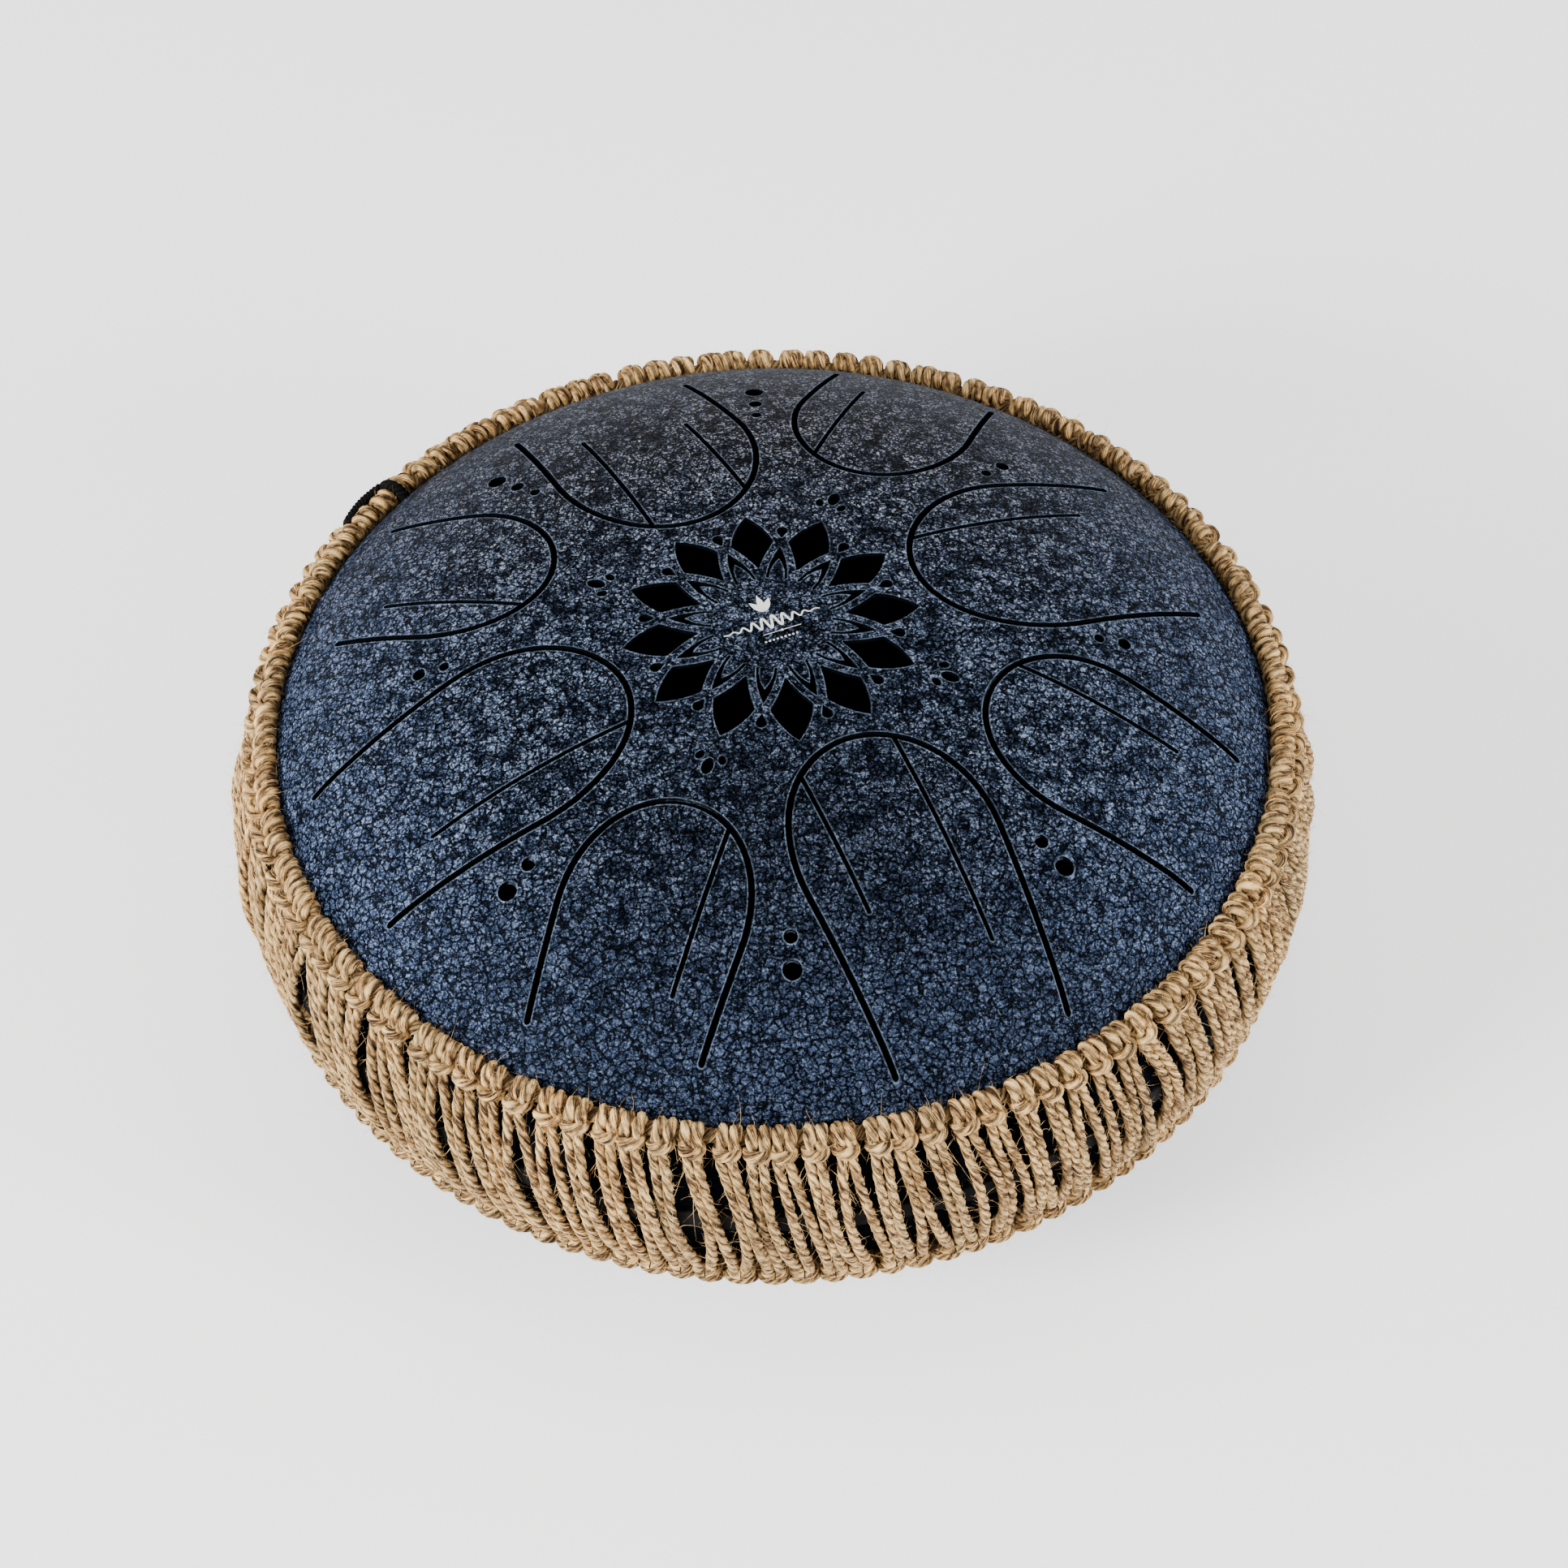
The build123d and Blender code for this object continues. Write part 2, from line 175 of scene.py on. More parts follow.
# changes across the coat: where each begins and ends, in metres, and its value before and after. AWAY runs
# from the player's side to the flanks, the next three from the axis to the rim, the next two towards the
# back, the last up from the seam. All but MIDDLE paint light or shade into the colour: lighter flanks, a
# painted lit rim over a shaded middle, painted glints strongest round the middle, painted shade and a
# greyer painted sheen towards the back, and painted shade in the strip under the net.
AWAY = ((-0.09, 0.06), (0.0, 1.0))
MIDDLE = ((0.110, 0.175), (1.0, 0.0))
RIM_LIGHT = ((0.09, 0.19), (0.48, 1.30))
GLINT_REACH = ((0.100, 0.195), (0.76, 0.25))
BACK_SHADE = ((0.03, 0.13), (1.0, 0.52))
GLINT_HUE = ((-0.02, 0.13), (0.0, 1.0))
NET_SHADE_SPAN = (((RING_Z - 10) * MM, (RING_Z + 3) * MM), (0.03, 1.0))

# share of a face's normal that points outward, from a cut's wall to the outer face; below it the coat turns
# to painted black shade
OUTER_FACE = ((0.60, 0.74), (0.0, 1.0))

# factor and base of the values that grow with AWAY and MIDDLE: the share of painted glints and the
# blotches' strength, and the painted light on the body
SHYNESS = (0.70, 0.30)
UNREST = (0.75, 0.30)
BODY_LIGHT = (0.58, 0.68)
FLANK_SLOPE = 0.9

# weights of the textures in the body's colour and in its relief
PATCH_SHARE = 0.5
PEBBLE_SHARE = 0.38
GRAIN_SHARE = 0.48
BLOTCH_MEAN = 0.44
BODY_LEVEL = 0.245
CRAZE_DEPTH = 0.97
PEBBLE_RELIEF = 0.55
GRAIN_RELIEF = 0.6
COAT_BUMP = (0.9, 0.0006)
COAT_GLOSS = 0.025

# ---------------------------------------------------------------- colours, linear
# painted black shade: the colour of cut walls, the inside, the dark lip at each cut and the strip under the
# net
SHADE_BLACK = (0.003, 0.004, 0.006, 1)
COAT_SHEEN = (0.62, 0.80, 1.0, 1)
SHELL_BODY = (
    (0.42, (0.003, 0.007, 0.017)),
    (0.48, (0.030, 0.045, 0.088)),
    (0.57, (0.114, 0.151, 0.252)),
)
# painted glints near the player's side, turning to a greyer painted sheen towards the back
SHELL_GLINT_NEAR = (0.42, 0.53, 0.72, 1)
SHELL_SHEEN_FAR = (0.68, 0.68, 0.69, 1)
# pale edge along the cuts: part wear, part painted highlight
SHELL_EDGE = (0.36, 0.48, 0.64, 1)
JUTE_TONES = (
    (0.43, (0.050, 0.019, 0.004)),
    (0.48, (0.43, 0.222, 0.070)),
    (0.55, (0.98, 0.645, 0.268)),
)
# the core ropes' jute darkened to half: painted shade where they lie behind the knots
CORE_SHADE_TONE = (0.5, 0.5, 0.5)
FUZZ = (2.1, 2.4, 3.0)
FIBRE_STRETCH = (1.0, 3.8, 1.0)
FIBRE_NOISE, FIBRE_SHARE = (1.6, 5.0, 0.7, 0.8), 0.7
MOTTLE_NOISE, MOTTLE_SHARE = (160.0, 4.0, 0.7), 0.3
JUTE_BUMP = (0.9, 0.0005)
TONE_LIGHT, TONE_WARM = (0.82, 1.12), 0.04
PRINT_TONES = ((0.3, (0.62, 0.61, 0.58)), (0.55, (0.86, 0.85, 0.82)))
BAND_GREY = 0.005
FOOT_GREY = 0.018
TIE_GREY = 0.004

# ---------------------------------------------------------------- lights: place, target height, size, power
LIGHTS = {
    "top": ((0.0, 0.1, 2.4), 0.1, 1.8, 16),
    "key": ((-1.95, -1.35, 1.4), 0.1, 0.8, 116),
    "fill": ((2.0, -1.2, 1.2), 0.1, 0.9, 60),
    "back_left": ((-2.4, 0.3, 1.1), 0.15, 1.2, 36),
    "back_right": ((2.4, 0.3, 1.1), 0.15, 1.2, 22),
}
SKY = 0.34


# ---------------------------------------------------------------- node helpers
def new_material(name):
    """An empty node material with its node tree and its Principled shader."""
    made = bpy.data.materials.new(name)
    made.use_nodes = True
    return made, made.node_tree, made.node_tree.nodes["Principled BSDF"]


def feed(tree, source, socket):
    """Sets an input from a node's first output, from a given output, or from a plain value."""
    if isinstance(source, bpy.types.Node):
        source = source.outputs[0]
    if isinstance(source, bpy.types.NodeSocket):
        tree.links.new(source, socket)
    else:
        socket.default_value = source


def node(tree, kind, **values):
    """A node with its sockets set by name, and its own properties by p_ and their name."""
    made = tree.nodes.new(kind)
    for key, value in values.items():
        if key.startswith("p_"):
            setattr(made, key[2:], value)
        else:
            made.inputs[key.replace("_", " ")].default_value = value
    return made


def maths(tree, operation, *terms):
    """A math node fed by nodes, sockets or numbers."""
    made = node(tree, "ShaderNodeMath", p_operation=operation)
    for k, term in enumerate(terms):
        feed(tree, term, made.inputs[k])
    return made


def vector(tree, operation, *terms):
    """A vector math node fed by nodes, sockets or vectors."""
    made = node(tree, "ShaderNodeVectorMath", p_operation=operation)
    for k, term in enumerate(terms):
        feed(tree, term, made.inputs[k])
    return made


def noise(tree, place, scale, detail, roughness, distortion=0.0):
    """A noise texture over the given coordinates."""
    made = node(tree, "ShaderNodeTexNoise", Scale=scale, Detail=detail, Roughness=roughness)
    made.inputs["Distortion"].default_value = distortion
    feed(tree, place, made.inputs["Vector"])
    return made


def ramp(tree, source, stops):
    """A colour ramp over the source, with the given positions and grey or colour values."""
    made = tree.nodes.new("ShaderNodeValToRGB")
    elements = made.color_ramp.elements
    while len(elements) < len(stops):
        elements.new(0.5)
    for element, (place, colour) in zip(elements, stops):
        element.position = place
        element.color = (colour,) * 3 + (1,) if isinstance(colour, (int, float)) else (*colour, 1)
    feed(tree, source, made.inputs[0])
    return made


def fade(tree, source, span, ends):
    """A smooth change from one value to another while the source crosses a span."""
    made = node(tree, "ShaderNodeMapRange", p_interpolation_type="SMOOTHSTEP")
    for name, value in zip(("From Min", "From Max", "To Min", "To Max"), (*span, *ends)):
        made.inputs[name].default_value = value
    feed(tree, source, made.inputs["Value"])
    return made


def mix(tree, amount, low, high, blend="MIX"):
    """The colour between two colours, each from a node, a socket or a value."""
    made = node(tree, "ShaderNodeMix", p_data_type="RGBA", p_blend_type=blend)
    for k, source in ((0, amount), (6, low), (7, high)):
        feed(tree, source, made.inputs[k])
    return made.outputs[2]


def raise_surface(tree, shader, height, strength, distance):
    """Bumps the shader's surface by a height."""
    bump = node(tree, "ShaderNodeBump", Strength=strength, Distance=distance)
    feed(tree, height, bump.inputs["Height"])
    feed(tree, bump, shader.inputs["Normal"])


# ---------------------------------------------------------------- shell coat
def coat_textures(tree, here):
    """The coat's textures: crazing cells warped by noise, wide patches, pebbles and fine grain."""
    warp = noise(tree, here, *WARP_NOISE)
    warped = vector(tree, "MULTIPLY_ADD", warp.outputs["Color"], (WARP_REACH,) * 3, here)
    cells = []
    for scale in (FINE_CELL_SCALE, WIDE_CELL_SCALE):
        cell = node(tree, "ShaderNodeTexVoronoi", p_feature="DISTANCE_TO_EDGE", Scale=scale, Randomness=1.0)
        feed(tree, warped, cell.inputs["Vector"])
        cells.append(cell)
    patch = noise(tree, here, *PATCH_NOISE)
    pebble = noise(tree, here, *PEBBLE_NOISE)
    grain = noise(tree, here, *GRAIN_NOISE)
    return cells, patch, pebble, grain


def coat_lines(tree, cells):
    """Black crazing: faint fine lines times bold wide ones, 1 on the coat and 0 in a crack."""
    fine = ramp(tree, cells[0].outputs["Distance"], FINE_LINE)
    bold = ramp(tree, cells[1].outputs["Distance"], BOLD_LINE)
    return maths(tree, "MULTIPLY", fine, bold)


def coat_colour(tree, here, patch, pebble, grain):
    """Blue body and pale flecks, with painted light and shade: calm and deep at the player's side (painted
    shade, few painted glints), pale and restless round the middle (painted glints over a painted darker
    body), painted light at the flanks and rim, painted shade towards the back.
    """
    reach = vector(tree, "LENGTH", vector(tree, "MULTIPLY", here, (1.0, 1.0, 0.0))).outputs["Value"]
    sides = node(tree, "ShaderNodeSeparateXYZ")
    feed(tree, here, sides.inputs[0])
    back = sides.outputs["Y"]
    flank = maths(tree, "MULTIPLY_ADD", maths(tree, "ABSOLUTE", sides), FLANK_SLOPE, back)
    away = fade(tree, flank, *AWAY)
    shy = maths(tree, "MULTIPLY_ADD", away, *SHYNESS)

    middle = fade(tree, reach, *MIDDLE)
    unrest = maths(tree, "MULTIPLY_ADD", maths(tree, "MULTIPLY", middle, shy), *UNREST)
    patches = maths(tree, "MULTIPLY", patch, PATCH_SHARE)
    blotch = maths(tree, "MULTIPLY_ADD", pebble, PEBBLE_SHARE, patches)
    swing = maths(tree, "MULTIPLY", maths(tree, "SUBTRACT", blotch, BLOTCH_MEAN), unrest)
    level = maths(tree, "ADD", maths(tree, "MULTIPLY_ADD", grain, GRAIN_SHARE, swing), BODY_LEVEL)
    body = ramp(tree, level, SHELL_BODY)

    # painted light and shade: the body lighter at the flanks and the rim, darker at the player's side,
    # round the middle and towards the back
    light = maths(tree, "MULTIPLY_ADD", away, *BODY_LIGHT)
    lit = maths(tree, "MULTIPLY", light, fade(tree, back, *BACK_SHADE))
    painted_light_level = maths(tree, "MULTIPLY", fade(tree, reach, *RIM_LIGHT), lit)
    painted_lit_body = vector(tree, "SCALE", body)
    feed(tree, painted_light_level, painted_lit_body.inputs["Scale"])

    # pale flecks painted as glints: most round the middle and away from the player's side, greyer towards
    # the back as painted sheen
    glint_fleck = maths(tree, "MULTIPLY", ramp(tree, grain, GLINT_GRAIN), ramp(tree, patch, GLINT_PATCH))
    centred = maths(tree, "MULTIPLY", glint_fleck, fade(tree, reach, *GLINT_REACH))
    sheen_hue = fade(tree, back, *GLINT_HUE)
    glint_colour = mix(tree, sheen_hue, SHELL_GLINT_NEAR, SHELL_SHEEN_FAR)
    return mix(tree, maths(tree, "MULTIPLY", centred, shy), painted_lit_body, glint_colour)


def coat_edges(tree, pebble):
    """How worn the coat is along a cut's edge, with a painted highlight in the same band, where it ends in
    a dark lip of painted shade at the edge itself, and the face's normal.
    """
    rounded = node(tree, "ShaderNodeBevel", p_samples=4, Radius=EDGE_RADIUS)
    normal = node(tree, "ShaderNodeNewGeometry").outputs["True Normal"]
    turned = vector(tree, "DOT_PRODUCT", rounded, normal).outputs["Value"]
    # worn: the pale edge band, part wear and part painted highlight
    worn = maths(tree, "MULTIPLY", ramp(tree, turned, EDGE_WEAR_GLINT), ramp(tree, pebble, WEAR_GLINT_GRAIN))
    return worn, ramp(tree, turned, EDGE_SHADE), normal


def unshaded_part(tree, here, normal):
    """1 on the outer face, 0 on the inside and on cut walls, and next to 0 in the strip under the net.
    Where it is 0 the coat's colour gives way to painted black shade.
    """
    centred = vector(tree, "SUBTRACT", here, (0.0, 0.0, EQUATOR * MM))
    outward = vector(tree, "NORMALIZE", centred)
    facing = vector(tree, "DOT_PRODUCT", outward, normal).outputs["Value"]
    unshaded_face = fade(tree, facing, *OUTER_FACE)
    height = node(tree, "ShaderNodeSeparateXYZ")
    feed(tree, centred, height.inputs[0])
    rise = maths(tree, "ABSOLUTE", height.outputs["Z"])
    clear = fade(tree, rise, *NET_SHADE_SPAN)
    return maths(tree, "MULTIPLY", unshaded_face, clear)


def shell_material():
    """Dark blue crackle powder coat: warped cells with black crazing, pale grain flecks painted as glints
    and sheen, pale edges that are part wear and part painted highlight, painted light and shade across the
    body, and painted black shade on cut walls, inside and under the net.
    """
    made, tree, shader = new_material("shell_crackle")
    here = node(tree, "ShaderNodeTexCoord").outputs["Object"]
    cells, patch, pebble, grain = coat_textures(tree, here)
    lines = coat_lines(tree, cells)
    colour = coat_colour(tree, here, patch, pebble, grain)
    crazed = mix(tree, CRAZE_DEPTH, colour, lines, "MULTIPLY")
    worn, end, normal = coat_edges(tree, pebble)
    # rim: the pale edge along the cuts, part wear and part painted highlight
    rim = mix(tree, worn, crazed, SHELL_EDGE)
    # shown is 0 where the colour becomes painted black shade: cut walls, the inside, the dark lip at each
    # cut and the strip under the net
    shown = maths(tree, "MULTIPLY", unshaded_part(tree, here, normal), end)
    feed(tree, mix(tree, shown, SHADE_BLACK, rim), shader.inputs["Base Color"])
    feed(tree, maths(tree, "MULTIPLY", shown, COAT_GLOSS), shader.inputs["Specular IOR Level"])
    feed(tree, ramp(tree, pebble, COAT_ROUGHNESS), shader.inputs["Roughness"])
    shader.inputs["Specular Tint"].default_value = COAT_SHEEN
    relief = maths(tree, "MULTIPLY_ADD", pebble, PEBBLE_RELIEF, lines)
    raise_surface(tree, shader, maths(tree, "MULTIPLY_ADD", grain, GRAIN_RELIEF, relief), *COAT_BUMP)
    return made


# ---------------------------------------------------------------- other materials
def jute_material():
    """Dry jute: long fibres along the ply, pale crests over grooves of painted shade, each cord a little
    different.
    """
    made, tree, shader = new_material("jute_twine")
    along = node(tree, "ShaderNodeMapping", Scale=FIBRE_STRETCH)
    feed(tree, node(tree, "ShaderNodeUVMap", p_uv_map="UVMap"), along.inputs["Vector"])
    fibre = noise(tree, along, *FIBRE_NOISE)
    mottle = noise(tree, node(tree, "ShaderNodeTexCoord").outputs["Object"], *MOTTLE_NOISE)
    fibres = maths(tree, "MULTIPLY", fibre, FIBRE_SHARE)
    level = maths(tree, "MULTIPLY_ADD", mottle, MOTTLE_SHARE, fibres)
    # cord_tone holds each cord's own tone times the painted shade in the grooves between plies
    own = node(tree, "ShaderNodeAttribute", p_attribute_name="cord_tone").outputs["Color"]
    feed(tree, mix(tree, 1.0, ramp(tree, level, JUTE_TONES), own, "MULTIPLY"), shader.inputs["Base Color"])
    raise_surface(tree, shader, fibre, *JUTE_BUMP)
    shader.inputs["Roughness"].default_value = 0.75
    shader.inputs["Specular IOR Level"].default_value = 0.25
    return made


def grained_material(name, scale, grit, stops, bump, roughness, gloss):
    """A matt surface with a fine grain in its colour and its relief."""
    made, tree, shader = new_material(name)
    grain = noise(tree, node(tree, "ShaderNodeTexCoord").outputs["Object"], scale, 3.0, grit)
    feed(tree, ramp(tree, grain, stops), shader.inputs["Base Color"])
    raise_surface(tree, shader, grain, bump, 0.0002)
    shader.inputs["Roughness"].default_value = roughness
    shader.inputs["Specular IOR Level"].default_value = gloss
    return made


def rubber_material(name, grey):
    """Matt black rubber or cord with a faint moulded grain."""
    return grained_material(name, 900.0, 0.6, ((0.3, grey * 0.6), (0.7, grey * 1.5)), 0.35, 0.8, 0.08)


def print_material():
    """White pad print, slightly worn by the grain under it."""
    return grained_material("white_print", 1400.0, 0.7, PRINT_TONES, 0.3, 0.55, 0.5)


def floor_material():
    """Plain pale sweep, lifted by a little light of its own."""
    made, _, shader = new_material("pale_floor")
    shader.inputs["Base Color"].default_value = (0.93, 0.93, 0.93, 1)
    shader.inputs["Emission Color"].default_value = (1, 1, 1, 1)
    shader.inputs["Emission Strength"].default_value = 0.9
    shader.inputs["Roughness"].default_value = 0.9
    shader.inputs["Specular IOR Level"].default_value = 0.1
    return made


# ---------------------------------------------------------------- mesh helpers
def mesh_object(name, verts_mm, faces, uvs=None, tone=None, material=None, smooth=True):
    """A mesh object from millimetre points, with optional UVs per vertex and a tone per vertex."""
    mesh = bpy.data.meshes.new(name)
    verts = np.asarray(verts_mm, np.float64) * MM
    faces = np.asarray(faces, np.int32)
    mesh.vertices.add(len(verts))
    mesh.vertices.foreach_set("co", verts.astype(np.float32).ravel())
    size = faces.shape[1]
    mesh.loops.add(faces.size)
    mesh.loops.foreach_set("vertex_index", faces.ravel())
    mesh.polygons.add(len(faces))
    mesh.polygons.foreach_set("loop_start", np.arange(0, faces.size, size, dtype=np.int32))
    mesh.update(calc_edges=True)
    if uvs is not None:
        layer = mesh.uv_layers.new(name="UVMap")
        layer.data.foreach_set("uv", np.asarray(uvs, np.float32)[faces.ravel()].ravel())
    if tone is not None:
        paint = mesh.color_attributes.new("cord_tone", "FLOAT_COLOR", "POINT")
        tones = np.asarray(tone, np.float32)
        full = np.concatenate([tones, np.ones((len(tones), 1), np.float32)], 1)
        paint.data.foreach_set("color", full.ravel())
    mesh.polygons.foreach_set("use_smooth", np.full(len(faces), smooth))
    mesh.validate()
    made = bpy.data.objects.new(name, mesh)
    bpy.context.scene.collection.objects.link(made)
    if material is not None:
        mesh.materials.append(material)
    return made


def resample(points, values, step):
    """Evenly spaced points on a Catmull-Rom curve through the given points, with values carried along."""
    p = np.asarray(points, float)
    w = np.asarray(values, float)
    ghost = np.vstack([2 * p[0] - p[1], p, 2 * p[-1] - p[-2]])
    wide = np.concatenate([w[:1], w, w[-1:]])
    t = np.linspace(0, 1, 9)[:-1]
    a, b, c, d = ghost[:-3, None], ghost[1:-2, None], ghost[2:-1, None], ghost[3:, None]
    u = t[None, :, None]
    line = 2 * b + (c - a) * u
    bent = line + (2 * a - 5 * b + 4 * c - d) * u**2 + (3 * b - a - 3 * c + d) * u**3
    curve = np.vstack([(0.5 * bent).reshape(-1, 3), p[-1:]])
    carried = (wide[1:-2, None] * (1 - t) + wide[2:-1, None] * t).ravel()
    carried = np.append(carried, w[-1])
    run = np.concatenate([[0], np.cumsum(np.linalg.norm(np.diff(curve, axis=0), axis=1))])
    count = max(4, int(run[-1] / step) + 1)
    at = np.linspace(0, run[-1], count)
    even = np.stack([np.interp(at, run, curve[:, k]) for k in range(3)], 1)
    return even, np.interp(at, run, carried), at


def frames_along(points):
    """Tangent, normal and side vector at each point, turned as little as possible along the curve."""
    tangent = np.gradient(points, axis=0)
    tangent /= np.linalg.norm(tangent, axis=1)[:, None]
    start = np.cross(tangent[0], (0.3, 0.5, 0.8))
    normal = np.empty_like(points)
    normal[0] = start / np.linalg.norm(start)
    for k in range(1, len(points)):
        n = normal[k - 1] - tangent[k] * np.dot(normal[k - 1], tangent[k])
        normal[k] = n / np.linalg.norm(n)
    return tangent, normal, np.cross(tangent, normal)


class Bundle:
    """Collects tubes into one mesh."""

    def __init__(self):
        self.verts, self.faces, self.uvs, self.tones, self.count = [], [], [], [], 0

    def tube(self, centre, normal, side, radius, run, sides, tone, turn=0.0, core=None, limit=None):
        """One tube round a centre line, with painted shade where it lies deep inside the rope round the
        core.
        """
        rings = len(centre)
        angle = np.linspace(0, 2 * np.pi, sides, endpoint=False)[None, :] + np.reshape(turn, (-1, 1))
        swell = np.asarray(radius, float).reshape(-1, 1) * np.ones((rings, 1))
        ring = (
            normal[:, None, :] * (np.cos(angle) * swell)[..., None]
            + side[:, None, :] * (np.sin(angle) * swell)[..., None]
        )
        verts = (centre[:, None, :] + ring).reshape(-1, 3)
        around = np.arange(sides)
        low = (np.arange(rings - 1)[:, None] * sides + around[None, :]).ravel()
        nxt = (np.arange(rings - 1)[:, None] * sides + ((around + 1) % sides)[None, :]).ravel()
        quads = np.stack([low, nxt, nxt + sides, low + sides], 1) + self.count
        u = np.repeat(run[:, None], sides, 1) / RUN_PER_UV
        v = np.repeat((1 - np.abs(2 * around / sides - 1))[None, :], rings, 0)
        self.verts.append(verts)
        self.faces.append(quads)
        self.uvs.append(np.stack([u, v], -1).reshape(-1, 2))
        shade = np.ones((len(verts), 1))
        # painted shade: darker where the ply lies towards the rope's core, in the grooves between plies
        if core is not None:
            out = np.linalg.norm(verts - np.repeat(core, sides, 0), axis=1) / np.repeat(limit, sides)
            shade = np.clip((out - GROOVE_START) / GROOVE_SPAN, 0, 1)[:, None]
            shade = GROOVE_LIGHT + (1 - GROOVE_LIGHT) * shade * shade * (3 - 2 * shade)
        self.tones.append(shade * np.asarray(tone, float)[None, :])
        self.count += len(verts)

    def rope(self, points, swell, run, tone, lay, offset, ply, sides=7, plies=3, phase=0.0):
        """A rope of twisted plies along a centre line."""
        _, normal, side = frames_along(points)
        for k in range(plies):
            angle = phase + 2 * np.pi * k / plies - 2 * np.pi * run / lay
            away = normal * np.cos(angle)[:, None] + side * np.sin(angle)[:, None]
            centre = points + away * (offset * swell)[:, None]
            wobble = 1 + WOBBLE * np.sin(run * WOBBLE_RATE + k * 2.1 + phase * 3)
            where = run + PLY_SHIFT * k + CORD_SHIFT * phase
            outer = (offset + ply) * swell
            self.tube(centre, normal, side, ply * swell * wobble, where, sides, tone, angle, points, outer)

    def fibres(self, points, count, reach, tone):
        """Loose fibres that leave a centre line and curl away."""
        tangent, normal, side = frames_along(points)
        at = RNG.integers(2, len(points) - 2, count)
        turn = RNG.uniform(0, 2 * np.pi, count)
        length = RNG.gamma(*FIBRE_LENGTH, count) + FIBRE_LEAST
        lift = RNG.uniform(*FIBRE_LIFT, count)
        along = RNG.choice((-1.0, 1.0), count)
        curl = RNG.normal(0, FIBRE_CURL, (count, 3))
        t = np.linspace(0, 1, 5)
        for k in range(count):
            out = normal[at[k]] * np.cos(turn[k]) + side[at[k]] * np.sin(turn[k])
            head = out * lift[k] + tangent[at[k]] * along[k]
            head /= np.linalg.norm(head)
            path = points[at[k]] + out * reach + np.outer(t * length[k], head)
            path += np.outer(t**2 * length[k], curl[k])
            _, n, s = frames_along(path)
            self.tube(path, n, s, FIBRE_RADIUS * (1.1 - t), t, 3, np.multiply(tone, FUZZ))

    def build(self, name, material):
        """The mesh object of everything collected."""
        return mesh_object(
            name,
            np.vstack(self.verts),
            np.vstack(self.faces),
            np.vstack(self.uvs),
            np.vstack(self.tones),
            material,
        )


# ---------------------------------------------------------------- net
def near_ring(azimuth, s, n, t, end):
    """World point from ring coordinates: s along the ring, n away from the shell, t towards the seam."""
    reach = RING_R + n * math.cos(RING_TILT) + t * math.sin(RING_TILT)
    height = end * (RING_Z + n * math.sin(RING_TILT) - t * math.cos(RING_TILT))
    turn = azimuth + s / reach
    return (reach * math.cos(turn), reach * math.sin(turn), EQUATOR + height)


def on_wall(azimuth, angle, gap):
    """World point at a gap from the wall at a wall angle."""
    reach = WALL_C + (WALL_R + gap) * math.cos(angle)
    height = EQUATOR + (WALL_R + gap) * math.sin(angle)
    return (reach * math.cos(azimuth), reach * math.sin(azimuth), height)


def knot_points(azimuth, hand, end, size, tilt):
    """Half a lark's head, from the bight's middle round the core rope to where the tail leaves."""
    # each row: along the ring, away from the wall, towards the seam, thickness of the twine
    rows = (
        (0.0, 6.0, 5.4, 1.32),
        (2.0, 5.5, 5.2, 1.28),
        (3.5, 3.4, 4.5, 1.05),
        (3.4, 0.6, 3.9, 1.0),
        (2.9, -2.0, 2.4, 1.0),
        (2.4, -2.6, -0.4, 1.1),
        (2.2, -1.4, -2.9, 1.25),
        (2.15, 1.5, -3.2, 1.32),
        (2.1, 3.6, -1.4, 1.28),
        (2.05, 3.6, 1.4, 1.15),
        (2.0, 2.5, 4.6, 1.02),
        (2.0, 2.6, 8.2, 1.0),
    )
    points, swell = [], []
    flat, inward = KNOT_FLAT[end]
    for s, n, t, fat in rows:
        sway = hand * s * size + tilt * (t - 2)
        points.append(near_ring(azimuth, sway, flat * n + inward, t + tilt * hand * s * 0.5, end))
        swell.append(fat)
    return points, swell


def tail_points(top, bottom, middle):
    """The tail between its two knots, round the wall of the drum, through its own place at the belly."""
    bulge = RNG.normal(*BULGE)
    sway = middle - (top + bottom) / 2
    points = []
    for k in range(1, TAIL_POINTS):
        w = k / TAIL_POINTS
        angle = TAIL_TURN * (1 - 2 * w)
        rise = (abs(angle) / TAIL_TURN) ** 2
        near = KNOT_GAP[1 if w < 0.5 else -1]
        gap = BELLY_GAP + bulge * math.sin(math.pi * w) + (near - BELLY_GAP) * rise
        azimuth = top + (bottom - top) * w + sway * math.sin(math.pi * w)
        points.append(on_wall(azimuth, angle, gap))
    return points


def belly_places(top, bottom):
    """Azimuth of each tail at the belly: drawn at random, then pushed apart until no two cords overlap."""
    left = (top + np.roll(bottom, 1)) / 2
    left[0] -= math.pi
    right = (top + bottom) / 2
    places = np.stack([left, right], 1).ravel()
    reach = SHELL_R + BELLY_GAP
    places += RNG.normal(0, SWAY, len(places)) / reach
    least = MIN_SPACING / reach
    for _ in range(PUSHES):
        gaps = np.diff(np.append(places, places[0] + 2 * math.pi))
        short = np.clip(least - gaps, 0, None) / 2
        places -= short
        places += np.roll(short, 1)
    return places.reshape(-1, 2)


